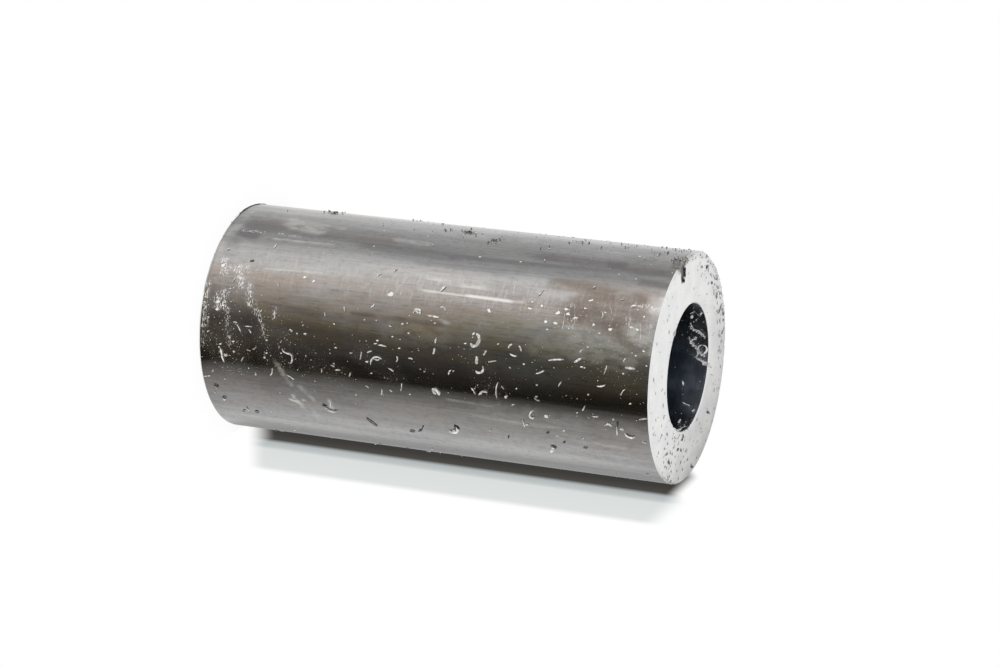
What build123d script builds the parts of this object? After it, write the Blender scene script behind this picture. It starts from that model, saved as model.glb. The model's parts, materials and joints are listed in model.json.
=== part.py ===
from build123d import *
import os
from math import cos, radians, sin

# A plain spacer sleeve: a thick-walled steel tube that slides over a bolt or an axle and holds two parts a
# set distance apart. It is one turned piece, drilled through, faced square at both ends and deburred.
# Millimetres. +Z runs along the bore, and the origin is the middle of the end that the sleeve stands on.

# Tube
outer_diameter = 36.0
bore_diameter = 20.0
length = 75.0  # between the two faced ends

# Broken edges, all at 45 degrees and measured along the face
rim_break = 0.3  # outer edge of each end
mouth_break = 0.2  # edge of the bore at each end

# A nick struck in through the rim of the upper end: a groove with round sides and a round inner end
nick_radius = 1.2  # of the groove's round bottom
nick_depth = 0.45  # below the end face
nick_reach = 2.1  # from the outside of the tube in to the middle of the round end
nick_angle = -33.0  # degrees about the bore, from +X

outer_radius = outer_diameter / 2
bore_radius = bore_diameter / 2
wall = outer_radius - bore_radius

os.makedirs("parts", exist_ok=True)

with BuildPart() as sleeve:
    # The wall's section, with its four corners broken, turned about the bore's axis.
    with BuildSketch(Plane.XZ) as section:
        with Locations((bore_radius, 0)):
            Rectangle(wall, length, align=(Align.MIN, Align.MIN))
        chamfer(section.vertices().group_by(Axis.X)[-1], length=rim_break)
        chamfer(section.vertices().group_by(Axis.X)[0], length=mouth_break)
    revolve(axis=Axis.Z)

    # The nick is cut by a round-nosed bar that lies along the radius and runs out past the rim.
    outward = Vector(cos(radians(nick_angle)), sin(radians(nick_angle)), 0)
    nick_end = outward * (outer_radius - nick_reach) + Vector(0, 0, length - nick_depth + nick_radius)
    with Locations(Plane(origin=nick_end, z_dir=outward)):
        Sphere(nick_radius, mode=Mode.SUBTRACT)
        Cylinder(
            nick_radius,
            nick_reach + nick_radius,
            align=(Align.CENTER, Align.CENTER, Align.MIN),
            mode=Mode.SUBTRACT,
        )

sleeve.part.label = "sleeve"
export_step(sleeve.part, "parts/sleeve.step")
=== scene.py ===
import json
from math import cos, pi, radians, sin

import bpy
import numpy as np
from mathutils import Matrix, Vector


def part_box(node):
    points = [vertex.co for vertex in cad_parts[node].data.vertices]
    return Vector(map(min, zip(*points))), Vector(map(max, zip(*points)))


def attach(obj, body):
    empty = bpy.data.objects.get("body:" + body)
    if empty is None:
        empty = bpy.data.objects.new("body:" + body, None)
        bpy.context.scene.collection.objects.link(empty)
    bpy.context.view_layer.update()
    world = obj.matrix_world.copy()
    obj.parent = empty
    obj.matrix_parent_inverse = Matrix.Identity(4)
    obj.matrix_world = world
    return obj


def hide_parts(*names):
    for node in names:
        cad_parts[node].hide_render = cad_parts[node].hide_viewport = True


# A spacer sleeve of drawn steel, faced and bored, still dusted with the swarf of its machining. It stands
# on its end. The camera is turned on its side, so that in the main view the sleeve lies as photographed.
# Metres in Blender; marks and swarf are placed in millimetres, because they are that size.

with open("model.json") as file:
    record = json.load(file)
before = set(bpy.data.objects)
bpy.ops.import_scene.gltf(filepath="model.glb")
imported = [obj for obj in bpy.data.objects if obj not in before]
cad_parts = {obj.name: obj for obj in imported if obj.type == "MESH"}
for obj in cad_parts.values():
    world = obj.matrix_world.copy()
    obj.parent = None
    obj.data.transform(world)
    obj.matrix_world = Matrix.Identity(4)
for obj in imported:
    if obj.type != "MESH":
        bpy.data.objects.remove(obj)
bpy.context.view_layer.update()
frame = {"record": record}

MM = 0.001
low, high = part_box("sleeve")
OUTER = (high.x - low.x) / 2 / MM
LENGTH = (high.z - low.z) / MM
BORE = next(m for m in frame["record"]["mounts"] if m["name"] == "bore")["dims"]["r_mm"]

# The turned edges and the nick, as in the CAD source.
RIM_BREAK = 0.3
MOUTH_BREAK = 0.2
NICK_RADIUS = 1.2
NICK_DEPTH = 0.45
NICK_REACH = 2.1
NICK_TURN = 12.0

# The line along the outside that is uppermost when the sleeve lies as photographed. Marks round the sleeve
# are given as a turn in degrees from this line, positive towards the side that faces the camera.
TOP = -45.0
# The turn of the dark, oily band along the outside, where most of the swarf lies.
DARK_BAND = 84

# Camera: turned on its side, and long, as for a small thing on a table.
CAMERA_AZIMUTH = 116.6
CAMERA_TURN = CAMERA_AZIMUTH - 90 - TOP
CAMERA_ELEVATION = 21.23
CAMERA_ROLL = 96.87
CAMERA_DISTANCE = 0.4758
CAMERA_LENS = 108.7
AIM_RIGHT = 0.0058
AIM_UP = 0.0011

rng = np.random.default_rng(36)


def direction(turn):
    """The way out from the axis at a turn."""
    way = radians(TOP + turn)
    return np.array([cos(way), sin(way), 0.0])


# Node graphs

def rgba(value):
    """A colour, given as one grey or as red, green and blue."""
    return (value, value, value, 1.0) if isinstance(value, float) else (*value, 1.0)


class Graph:
    """The node tree of one material or world, with a short call for each kind of node."""

    def __init__(self, owner):
        owner.use_nodes = True
        self.owner = owner
        self.tree = owner.node_tree
        self.tree.nodes.clear()

    def node(self, kind, inputs=None, **settings):
        made = self.tree.nodes.new("ShaderNode" + kind)
        for name, value in settings.items():
            setattr(made, name, value)
        for key, value in (inputs or {}).items():
            self.join(value, made.inputs[key])
        return made

    def join(self, value, socket):
        if isinstance(value, bpy.types.NodeSocket):
            self.tree.links.new(value, socket)
        else:
            socket.default_value = rgba(value) if socket.type == "RGBA" else value

    def math(self, operation, *values, clamp=False):
        made = self.node("Math", dict(enumerate(values)), operation=operation, use_clamp=clamp)
        return made.outputs[0]

    def times(self, first, second):
        return self.math("MULTIPLY", first, second)

    def vector(self, operation, *values):
        return self.node("VectorMath", dict(enumerate(values)), operation=operation)

    def scaled(self, vector, scale):
        return self.vector("MULTIPLY", vector, scale).outputs[0]

    def noise(self, at, scale, detail=3.0, roughness=0.5, distortion=0.0):
        """Noise with one scale, or with one for each axis."""
        if isinstance(scale, tuple):
            at, scale = self.scaled(at, scale), 1.0
        made = self.node("TexNoise", {"Vector": at, "Scale": scale, "Detail": detail,
                                      "Roughness": roughness, "Distortion": distortion})
        return made.outputs["Fac"]

    def step(self, value, start, end, low=0.0, high=1.0):
        """low below start and high above end, with a smooth change between."""
        made = self.node("MapRange", {"Value": value, "From Min": start, "From Max": end,
                                      "To Min": low, "To Max": high}, interpolation_type="SMOOTHSTEP")
        return made.outputs["Result"]

    def mix(self, share, first, second):
        return self.node("Mix", {0: share, 6: first, 7: second}, data_type="RGBA").outputs[2]

    def layers(self, base, rows):
        """Colours laid one after another over a base, each by its share."""
        for share, colour in rows:
            base = self.mix(share, base, colour)
        return base

    def ramp(self, factor, stops):
        made = self.node("ValToRGB", {"Fac": factor})
        elements = made.color_ramp.elements
        while len(elements) < len(stops):
            elements.new(0.5)
        for element, (position, value) in zip(elements, stops):
            element.position = position
            element.color = rgba(value)
        return made.outputs["Color"]

    def attribute(self, name):
        return self.node("Attribute", attribute_name=name).outputs["Fac"]

    def millimetres(self):
        """The surface point in millimetres."""
        place = self.node("TexCoord").outputs["Object"]
        return self.scaled(place, (1 / MM, 1 / MM, 1 / MM))

    def height(self, at):
        return self.node("SeparateXYZ", {0: at}).outputs["Z"]

    def radius(self, at):
        """How far a point lies from the axis."""
        return self.vector("LENGTH", self.scaled(at, (1.0, 1.0, 0.0))).outputs["Value"]

    def along(self, at, way):
        """How far a point lies along a direction."""
        return self.vector("DOT_PRODUCT", at, tuple(way)).outputs["Value"]

    def facing(self, at, turn, start, end):
        """1 on the outside at a turn, and 0 where the cosine of the angle from it has fallen to start."""
        return self.step(self.along(at, direction(turn)), start * OUTER, end * OUTER)

    def bump(self, height, depth, under=None):
        """A bump whose height of 1 is depth metres, over another one where that is given."""
        inputs = {"Height": height, "Distance": depth, "Strength": 1.0}
        if under is not None:
            inputs["Normal"] = under
        return self.node("Bump", inputs).outputs["Normal"]

    def finish(self, shader):
        target = "World" if isinstance(self.owner, bpy.types.World) else "Material"
        self.node("Output" + target, {"Surface": shader})
        return self.owner

    def patchy(self, name, noise, start, end, low=0.0):
        """The marks of a name, broken up by noise."""
        return self.times(self.attribute(name), self.step(noise, start, end, low, 1.0))

    def metal(self, colour, metallic, roughness, relief):
        shader = self.node("BsdfPrincipled", {"Base Color": colour, "Metallic": metallic,
                                              "Roughness": roughness, "Normal": relief})
        return self.finish(shader.outputs["BSDF"])

    def lit(self, colour):
        """A surface that gives out its colour."""
        return self.node("Emission", {"Color": colour, "Strength": 1.0}).outputs[0]

    def one_sided(self, colour):
        """Lit on its front, and clear from behind."""
        side = self.node("NewGeometry").outputs["Backfacing"]
        clear = self.node("BsdfTransparent").outputs[0]
        return self.finish(self.node("MixShader", {0: side, 1: self.lit(colour), 2: clear}).outputs[0])


def surface(name):
    """The graph of a new material."""
    return Graph(bpy.data.materials.new(name))


# Materials

def drawn_skin():
    """The outside: drawn steel with die lines along it, brown oil film, stains, smears, dust and scuffs."""
    g = surface("drawn_skin")
    at = g.millimetres()
    lines = g.noise(at, (4.5, 4.5, 0.05), 4.0, 0.65)
    streaks = g.noise(at, (0.55, 0.55, 0.035))
    patches = g.noise(at, (0.3, 0.3, 0.12), 5.0, 0.65)
    mottle = g.noise(at, (1.6, 1.6, 0.9), 3.0, 0.6)
    across = g.noise(at, (0.42, 0.42, 2.4), 4.0, 0.6, 0.5)
    broken = g.noise(at, (2.0, 2.0, 6.5), 2.0)
    drag = g.noise(at, (2.4, 2.4, 0.26), 4.0, 0.65)
    crumbs = g.noise(at, 3.3, 2.0)
    haze = g.noise(at, (0.9, 0.9, 0.45))
    film, dust = g.attribute("film"), g.attribute("dust")

    steel = g.mix(g.step(streaks, 0.35, 0.68), (0.47, 0.47, 0.475), (0.578, 0.575, 0.568))
    oil = g.mix(g.facing(at, DARK_BAND, 0.9, 0.975), (0.475, 0.395, 0.335), (0.465, 0.365, 0.225))
    olive = g.times(g.facing(at, 71, 0.958, 0.985), g.step(g.height(at), 38.0, 52.0))
    oil = g.mix(olive, oil, (0.43, 0.388, 0.28))
    smear = g.patchy("pale", haze, 0.36, 0.6, 0.3)
    bright = g.patchy("scuff", broken, 0.49, 0.6)
    fleck = g.patchy("dust", crumbs, 0.665, 0.71)
    grime = g.patchy("grime", crumbs, 0.36, 0.56, 0.35)
    steel = g.layers(steel, [
        (g.patchy("film", patches, 0.3, 0.62, 0.45), oil),
        (g.patchy("stain", patches, 0.36, 0.56, 0.45), (0.25, 0.2, 0.165)),
        (g.patchy("smoke", patches, 0.34, 0.54, 0.25), (0.245, 0.222, 0.235)),
        (g.step(mottle, 0.46, 0.7, 0.0, 0.22), (0.2, 0.185, 0.165)),
        (g.step(lines, 0.28, 0.62, 0.14, 0.0), (0.09, 0.085, 0.08)),
        (g.times(g.step(drag, 0.5, 0.7), g.math("MULTIPLY_ADD", film, 0.36, 0.08)), (0.17, 0.15, 0.14)),
        (g.times(0.5, g.patchy("scored", across, 0.5, 0.66)), (0.74, 0.72, 0.71)),
        (smear, (0.74, 0.745, 0.71)),
        (bright, (0.95, 0.93, 0.9)),
        (fleck, (0.52, 0.49, 0.44)),
        (g.attribute("glint"), (0.97, 0.96, 0.94)),
        (grime, (0.13, 0.125, 0.1)),
        # Painted shade in the nick where it cuts into the outside.
        (g.attribute("pit_painted_shade"), 0.03),
    ])

    loose = fleck
    for part in (g.times(bright, 0.8), g.times(smear, 0.45), g.times(grime, 0.8),
                 g.math("MULTIPLY_ADD", dust, 0.042, g.times(film, 0.004))):
        loose = g.math("MAXIMUM", loose, part)
    metallic = g.math("SUBTRACT", 1.0, loose, clamp=True)
    dullness_and_painted_shade = g.math("ADD", g.times(smear, 0.2), g.times(grime, 0.4))
    rough = g.math("ADD", g.step(streaks, 0.3, 0.7, 0.19, 0.12), dullness_and_painted_shade)
    return g.metal(steel, metallic, rough, g.bump(mottle, 0.000004, g.bump(lines, 0.00001)))


def faced_end():
    """The turned ends and broken edges: bright, with fine rings, and painted shade in the pits and towards
    one side.
    """
    g = surface("faced_end")
    at = g.millimetres()
    ring_pitch = 0.22
    rings = g.math("SINE", g.times(g.radius(at), 2 * pi / ring_pitch))
    cloud = g.noise(at, 0.35, 4.0)
    grain = g.noise(at, 4.0)
    speck = g.noise(at, 2.6, 2.0)
    pit_painted_shade, dullness_and_painted_shade = g.attribute("pit_painted_shade"), g.attribute("dullness_and_painted_shade")
    steel = g.layers(g.mix(g.step(cloud, 0.35, 0.68), (0.8, 0.8, 0.81), (0.87, 0.87, 0.85)), [
        # Painted shade towards the far and lower side of the end and along its rim.
        (dullness_and_painted_shade, (0.56, 0.55, 0.55)),
        (g.times(g.step(speck, 0.6, 0.7), g.math("MULTIPLY_ADD", dullness_and_painted_shade, 0.45, 0.1)), 0.22),
        (g.step(grain, 0.6, 0.74, 0.0, 0.2), 0.45),
        (g.patchy("grime", speck, 0.36, 0.56, 0.3), (0.19, 0.185, 0.15)),
        # Painted shade in the pits and the nick.
        (pit_painted_shade, 0.025),
    ])
    rough = g.math("ADD", g.step(cloud, 0.3, 0.7, 0.34, 0.46), g.times(pit_painted_shade, 0.3))
    return g.metal(steel, 1.0, rough, g.bump(grain, 0.000006, g.bump(rings, 0.0000012)))


def drilled_bore():
    """The bore: blue-black and oily, with the drill's faint rings, painted light just inside its mouth, and
    painted shade on two sides.
    """
    g = surface("drilled_bore")
    at = g.millimetres()
    rings = g.noise(at, (0.15, 0.15, 3.2))
    cloud = g.noise(at, 0.3)
    steel = g.layers(g.mix(g.step(cloud, 0.35, 0.7), (0.21, 0.26, 0.33), (0.32, 0.37, 0.44)), [
        # Painted light just inside the mouth, fading over 5 mm down.
        (g.step(g.height(at), LENGTH - 5, LENGTH, 0.0, 0.6), (0.6, 0.63, 0.66)),
        (g.step(rings, 0.5, 0.75, 0.0, 0.35), (0.13, 0.14, 0.16)),
        # Painted shade on two sides of the bore.
        (g.times(g.attribute("dullness_and_painted_shade"), 0.75), (0.09, 0.095, 0.1)),
    ])
    return g.metal(steel, 1.0, g.step(cloud, 0.3, 0.7, 0.3, 0.42), g.bump(rings, 0.000015))


def chip_steel(name, bright, dark, metallic, roughness):
    """Swarf: freshly cut steel, streaked along the cut."""
    g = surface(name)
    at = g.millimetres()
    tone = g.noise(at, 2.2, 2.0)
    fine = g.noise(at, 14.0, 2.0)
    steel = g.mix(g.step(tone, 0.38, 0.62), bright, dark)
    rough = g.step(fine, 0.3, 0.7, roughness - 0.08, roughness + 0.1)
    return g.metal(steel, metallic, rough, g.bump(fine, 0.00001))


# Objects

def add_object(name, points, faces, *materials):
    mesh = bpy.data.meshes.new(name)
    mesh.from_pydata(points, [], faces)
    for material in materials:
        mesh.materials.append(material)
    made = bpy.data.objects.new(name, mesh)
    bpy.context.scene.collection.objects.link(made)
    return made


def shade(made, sharp_angle):
    """Smooth shading, except over edges sharper than an angle."""
    made.data.update()
    made.data.shade_smooth()
    made.data.set_sharp_from_angle(angle=radians(sharp_angle))


# The sleeve's skin

# How many points there are in each row of the skin.
AROUND = 540


def smooth(value):
    value = np.clip(value, 0.0, 1.0)
    return value * value * (3 - 2 * value)


def section_rows():
    """Rows of the skin once round its section, each a radius, a height and a zone, in millimetres."""
    marked_foot = 26
    seen_bore = 6
    legs = [
        ("skin", 45, OUTER, marked_foot),
        ("skin", 53, OUTER, LENGTH - RIM_BREAK),
        ("rim", 3, OUTER - RIM_BREAK, LENGTH),
        ("end", 45, BORE + MOUTH_BREAK, LENGTH),
        ("mouth", 2, BORE, LENGTH - MOUTH_BREAK),
        ("bore", 15, BORE, LENGTH - seen_bore),
        ("bore", 6, BORE, MOUTH_BREAK),
        ("foot_mouth", 2, BORE + MOUTH_BREAK, 0),
        ("foot", 3, OUTER - RIM_BREAK, 0),
        ("foot_rim", 3, OUTER, RIM_BREAK),
    ]
    radius, height = OUTER, RIM_BREAK
    rows = []
    for zone, count, next_radius, next_height in legs:
        radii = np.linspace(radius, next_radius, count + 1)
        heights = np.linspace(height, next_height, count + 1)
        rows += [(r, z, zone) for r, z in zip(radii[:-1], heights[:-1])]
        radius, height = next_radius, next_height
    return rows


def turn_between(angle, turn):
    """The signed angle from a turn to each angle, both in degrees."""
    return (angle - turn + 180) % 360 - 180


def bell(angle, turn, width):
    """1 at a turn, fading over width degrees to either side."""
    return np.exp(-(turn_between(angle, turn) / width) ** 2)


def stroke(turn, height, start_turn, start_height, end_turn, end_height, half_width):
    """How much each point of the outside lies on a straight stroke."""
    across = radians(1) * OUTER
    u = turn_between(turn, start_turn) * across
    v = height - start_height
    du = turn_between(end_turn, start_turn) * across
    dv = end_height - start_height
    along = np.clip((u * du + v * dv) / (du * du + dv * dv + 1e-9), 0, 1)
    gap = np.hypot(u - along * du, v - along * dv)
    return smooth(1.5 - gap / half_width)


# Pits and dents in the upper end: turn, radius, length round the sleeve, breadth and depth, in mm.
PITS = [
    (-30, 16.1, 1.2, 0.7, 0.16), (-35, 17.2, 0.9, 0.4, 0.1), (-39, 15.8, 0.7, 0.5, 0.12),
    (-44, 16.3, 0.5, 0.5, 0.1), (-44, 15, 0.8, 0.5, 0.12), (-64, 17.6, 1, 0.8, 0.14),
    (-78, 15.4, 1, 0.5, 0.12), (-91, 15.9, 0.8, 0.6, 0.12), (-96, 14.6, 0.7, 0.5, 0.08),
    (-62, 13.5, 0.8, 0.4, 0.06), (102, 11.9, 0.9, 0.5, 0.08), (104, 15.4, 0.6, 0.4, 0.08),
    (88, 15.2, 0.6, 0.4, 0.08), (132, 14.4, 0.6, 0.5, 0.1), (138, 14.6, 0.8, 0.5, 0.12),
    (145, 15.1, 0.9, 0.7, 0.14), (125, 16.4, 0.7, 0.5, 0.08), (159, 12.6, 0.8, 0.5, 0.14),
    (166, 12.7, 0.7, 0.5, 0.14), (173, 11.4, 0.6, 0.4, 0.08), (178, 13.2, 0.8, 0.4, 0.1),
    (-160, 14.4, 0.7, 0.5, 0.06), (-136, 14, 0.9, 1.2, 0.06), (-172, 16.9, 0.9, 0.7, 0.16),
    (155, 17.6, 0.8, 0.5, 0.12), (167, 17.2, 0.6, 0.4, 0.1), (159, 14.9, 0.5, 0.4, 0.08),
    (-27, 17.7, 1, 0.5, 0.14), (-3, 17, 0.6, 0.3, 0.06), (-117, 13.8, 0.7, 0.5, 0.05),
    (149, 13.6, 0.7, 0.5, 0.14), (153, 16.2, 0.6, 0.5, 0.13), (141, 16.3, 0.7, 0.4, 0.12),
    (163, 15.9, 0.6, 0.4, 0.12), (-50, 15.7, 0.7, 0.5, 0.13), (-57, 16.6, 0.8, 0.4, 0.12),
    (-73, 16.8, 0.7, 0.5, 0.12),
]
# And how many small pits are strewn among them.
SMALL_PITS = 210

# Strokes on the outside: from a turn and height, to a turn and height, half the width in mm, and strength.
STROKES = {
    # Brown oil.
    "film": [
        (55, 24, 59, 48, 3, 0.9), (50, 62, 55, 70, 2.8, 0.95), (62, 36, 80, 72, 3, 1),
        (44, 60, 44, 72, 3.6, 0.6), (-8, 4, -4, 22, 2, 0.22), (14, 5, 20, 28, 1.6, 0.3),
        (18, 50, 20, 74, 0.9, 0.25), (200, 10, 206, 62, 4, 0.45), (260, 20, 255, 50, 5, 0.3),
        (300, 5, 310, 40, 4, 0.3),
    ],
    # Rust-brown stains.
    "stain": [
        (37, 57, 38, 64, 1.1, 0.7), (40.5, 63, 41.5, 71, 1.5, 0.9), (48, 62, 52, 71, 1.7, 0.9),
        (64.5, 26, 65, 41, 0.35, 0.7), (78, 3, 86, 9, 1.4, 0.5), (70, 5, 74, 9, 1.2, 0.5),
        (60, 1, 62, 4, 0.8, 0.4), (50, 62, 54, 69, 2.4, 1), (47, 65, 49, 72, 1.2, 0.7),
        (58, 66, 62, 74, 1.2, 0.35), (230, 20, 232, 60, 0.8, 0.5), (280, 10, 284, 45, 1.2, 0.4),
        (170, 30, 172, 70, 0.6, 0.4), (330, 12, 334, 50, 0.9, 0.4),
    ],
    # Smoke-grey stains.
    "smoke": [
        (27, 3, 28, 5.5, 0.9, 0.6), (34, 2.6, 46, 2.8, 1.2, 0.4), (87, 12, 87, 50, 1.6, 0.6),
        (20, 4.5, 18, 8, 1.6, 0.3), (22, 14, 21, 28, 0.8, 0.15), (26, 24, 28, 40, 0.8, 0.38),
        (19, 53, 20, 66, 1.1, 0.52), (24, 66, 22, 75, 0.8, 0.42), (27, 40, 25, 66, 0.5, 0.4),
        (30, 70, 31, 75, 0.7, 0.5), (49, 64, 52, 74, 2, 0.2), (44, 48, 46, 60, 1.3, 0.28),
        (109, 12, 111, 27, 1.3, 0.3), (125, 66, 128, 74, 2.2, 0.2), (3, 46, 6, 75, 2.6, 0.32),
        (-6, 56, -2, 75, 2, 0.24), (34, 34, 33, 52, 0.5, 0.25), (68, 2, 76, 9, 2, 0.5),
        (66, 12, 68, 30, 0.5, 0.4), (190, 6, 188, 40, 1.2, 0.4), (225, 34, 222, 72, 1.6, 0.4),
        (320, 30, 318, 66, 1.4, 0.4),
    ],
    # Dry, pale smears.
    "pale": [
        (13, 9.5, 15, 13, 1.3, 0.45), (16, 11, 18, 15.5, 1.2, 0.55), (12, 14, 14, 19, 0.5, 0.3),
        (19, 29, 20, 34, 0.6, 0.35), (6, 0.9, 25, 1.2, 1.3, 0.5), (58, 71.5, 64, 74.5, 1.3, 0.55),
        (94, 13.6, 105, 15.6, 0.4, 0.55), (106, 17.2, 113, 19.2, 0.35, 0.45),
        (112, 15.6, 118, 16.7, 0.22, 0.8), (118, 16.7, 114, 17.4, 0.18, 0.8),
        (115, 15.2, 116, 16, 0.22, 0.9), (119, 17, 122, 17.2, 0.22, 0.8),
        (121, 18.6, 125, 18.9, 0.4, 0.6), (112, 21.9, 117, 22, 0.25, 0.8), (47, 10, 46, 19.5, 0.18, 0.6),
        (63, 40.4, 64, 42, 0.25, 0.8), (42, 37, 43, 41, 0.35, 0.6), (44, 42, 44, 47, 0.3, 0.6),
        (46, 74, 40, 74.6, 0.7, 1), (210, 30, 222, 36, 0.8, 0.8), (290, 12, 300, 14, 0.8, 0.7),
        (250, 58, 262, 60, 0.7, 0.7), (66, 62, 70, 71, 2.4, 0.34), (70, 57, 70, 62, 1.8, 0.22),
        (67, 23, 68, 39, 2, 0.12), (116, 51, 118, 62, 2.8, 0.09), (104, 48, 106, 74, 1.2, 0.16),
        (71, 32, 71, 41, 1.7, 0.17), (28.5, 9, 28, 19, 0.18, 0.7), (110, 46, 111, 60, 0.3, 0.3),
        (117, 60, 118, 70, 0.35, 0.3), (102, 42, 103, 50, 0.2, 0.35),
    ],
    # Bright scuffs, broken up by noise.
    "scuff": [
        (48, 5.3, 58, 6.5, 0.52, 1), (57, 7.8, 66, 8.3, 0.45, 0.9), (65, 9, 70, 9.7, 0.45, 0.9),
        (69, 9.9, 75, 11, 0.3, 1), (75, 11.1, 82, 11.4, 0.28, 0.9), (45, 2.3, 52, 2.8, 0.5, 1),
        (58, 0.6, 79, 1, 0.5, 1), (70, 4.8, 88, 5.4, 0.28, 0.8), (62, 3.7, 69, 4, 0.6, 1),
        (64, 2.7, 69, 3.2, 0.65, 1), (78, 0.5, 90, 0.9, 0.25, 0.8), (48, 3.4, 50, 4.8, 0.35, 0.9),
        (46, 6.5, 50, 7, 0.25, 0.8), (66, 12.6, 72, 12.9, 0.25, 0.9), (25, 3.2, 24.4, 6.6, 0.26, 0.7),
        (24.4, 9.5, 25, 12.8, 0.2, 0.6), (50, 60, 60, 61.6, 0.16, 0.8), (45, 70.8, 54, 70, 0.18, 0.8),
        (47, 60.8, 57, 62.2, 0.13, 0.6), (41, 55.8, 47, 54.6, 0.16, 0.7), (41, 72.6, 60, 74.2, 0.25, 0.4),
        (57, 61, 60, 62, 0.5, 0.5), (43.5, 70.8, 44.5, 74.8, 0.3, 0.7), (192, 3, 206, 4, 0.45, 0.28),
        (262, 6, 276, 4, 0.4, 0.28), (290, 66, 300, 69, 0.35, 0.28), (158, 71, 170, 72.5, 0.35, 0.28),
        (324, 3, 334, 8, 0.4, 0.28),
    ],
    # Where the skin is scored round about by handling.
    "scored": [
        (46, 8, 48, 26, 3.4, 0.36), (48, 28, 46, 56, 2.6, 0.6), (48, 57, 50, 74, 4.2, 0.22),
        (84, 6, 84, 14, 3, 0.5), (130, 20, 128, 70, 3, 0.25), (200, 20, 205, 60, 8, 0.5),
        (300, 10, 290, 50, 8, 0.5), (250, 55, 255, 70, 6, 0.5), (350, 20, 352, 60, 3, 0.3),
    ],
    # The burnished line along the side that faces the camera.
    "glint": [
        (49, 37, 49.2, 44, 0.13, 0.6), (49.2, 44, 49.4, 51, 0.2, 1), (49.4, 51, 49, 53, 0.12, 0.5),
    ],
    # Oily dirt along the rims and under the heaps of crumbs.
    "grime": [
        (5, 74.9, 17, 74.9, 0.55, 1), (14, 74, 19, 73.9, 0.4, 0.8), (19, 73.6, 22, 73.9, 0.25, 0.6),
        (8, 74.2, 12, 74.2, 0.5, 0.8), (-4, 74.9, 6, 74.9, 0.22, 0.35), (50, 64.8, 54, 66, 0.9, 0.5),
        (2, 38.4, 4, 39.6, 0.5, 0.8), (-7, 13.6, -4, 14.8, 0.5, 0.8), (-2, 56.4, 0, 57.6, 0.4, 0.6),
        (7, 43.4, 9, 44, 0.4, 0.5), (3, 69, 5, 71, 0.6, 0.4), (-40, 0.1, 20, 0.1, 0.3, 1),
        (20, 0.1, 62, 0.1, 0.2, 0.7),
    ],
    # The finest swarf, as bright flecks.
    "dust": [
        (64, 3, 92, 5, 4, 1), (74, 12, 92, 14, 3, 0.9), (86, 16, 96, 24, 2, 0.7),
        (84, 28, 94, 34, 1.5, 0.5), (76, 46, 94, 50, 2, 0.5), (66, 64, 76, 71, 3, 0.6),
        (46, 54, 60, 74, 3.6, 0.9), (44, 30, 56, 50, 3, 0.5), (-5, 10, -3, 70, 2.5, 0.35),
        (240, 8, 300, 30, 7, 0.35), (200, 60, 260, 70, 6, 0.35),
    ],
}


def waver(turn, height):
    """The drawn tube's slight unevenness, in mm: long hollows along it and a faint roundness error."""
    local = np.random.default_rng(5)
    total = np.zeros_like(turn)
    for lobes, size in ((2, 0.012), (3, 0.010), (5, 0.006), (9, 0.004), (14, 0.003), (23, 0.0016)):
        phase, lean = local.uniform(0, 2 * pi), local.uniform(-0.6, 0.6)
        total += size * np.sin(np.radians(turn) * lobes + phase + lean * height / LENGTH * pi)
    return total


def dented_rims(turn, radius, height, zone, local):
    """Small dents along both outer rims."""
    for _ in range(70):
        where, size, depth = local.uniform(0, 360), local.uniform(0.25, 0.9), local.uniform(0.04, 0.16)
        top = local.random() < 0.7
        edge = np.hypot(turn_between(turn, where) * radians(1) * OUTER, (OUTER - radius) * 1.2)
        gap = np.abs(height - (LENGTH if top else 0.0))
        dent = depth * smooth(1 - edge / size) * smooth(1 - gap / (size * 0.7))
        radius = radius - dent
        height = height + np.where(zone == "skin", 0, -dent if top else dent) * 0.5
    return radius, height


def torn_mouth(turn, radius, height, zone, local):
    """The bore's mouth: a torn burr, worst at the lower side as the sleeve lies."""
    lip = np.isin(zone, ["mouth", "bore"]) & (height > LENGTH - 0.6)
    torn = bell(turn, 165, 32) + 0.25 * bell(turn, 43, 9)
    ragged = np.zeros_like(turn)
    for lobes, size in ((61, 0.5), (97, 0.6), (149, 0.5), (211, 0.4)):
        ragged += size * np.sin(np.radians(turn) * lobes + local.uniform(0, 2 * pi))
    return radius - np.where(lip, torn * np.clip(ragged, -0.6, 1.6) * 0.26 + 0.014 * ragged, 0)


def pitted_end(turn, radius, height, zone, local):
    """The upper end's pits: the heights with them cut, and how much painted shade each point has in one."""
    pit_painted_shade = np.zeros_like(turn)
    upper = np.isin(zone, ["end", "rim"])
    pits = list(PITS)
    while len(pits) < len(PITS) + SMALL_PITS:
        where = local.uniform(-180, 180)
        crowd = bell(where, 150, 40) + bell(where, -70, 50)
        if local.random() < 0.08 + crowd:
            size = local.uniform(0.26, 0.70)
            out = local.uniform(BORE + 0.6, OUTER - 0.4)
            out += 0.5 * (OUTER - 0.4 - out) * (abs(turn_between(where, -70)) < 60)
            pits.append((where, out, size, size * local.uniform(0.5, 0.9), local.uniform(0.05, 0.15)))
    for where, out, length, breadth, depth in pits:
        u = turn_between(turn, where) * radians(1) * out
        v = radius - out
        lean = local.uniform(-0.6, 0.6)
        u, v = u * cos(lean) + v * sin(lean), v * cos(lean) - u * sin(lean)
        rough = 1 + 0.25 * np.sin(5 * np.arctan2(v, u) + where)
        hollow = smooth(1.25 - np.hypot(u / length * 2, v / breadth * 2) / rough)
        hollow = np.where(upper, hollow, 0)
        height = height - depth * hollow
        pit_painted_shade = np.maximum(pit_painted_shade, hollow * min(1.0, depth / 0.11))
    return height, pit_painted_shade


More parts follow.
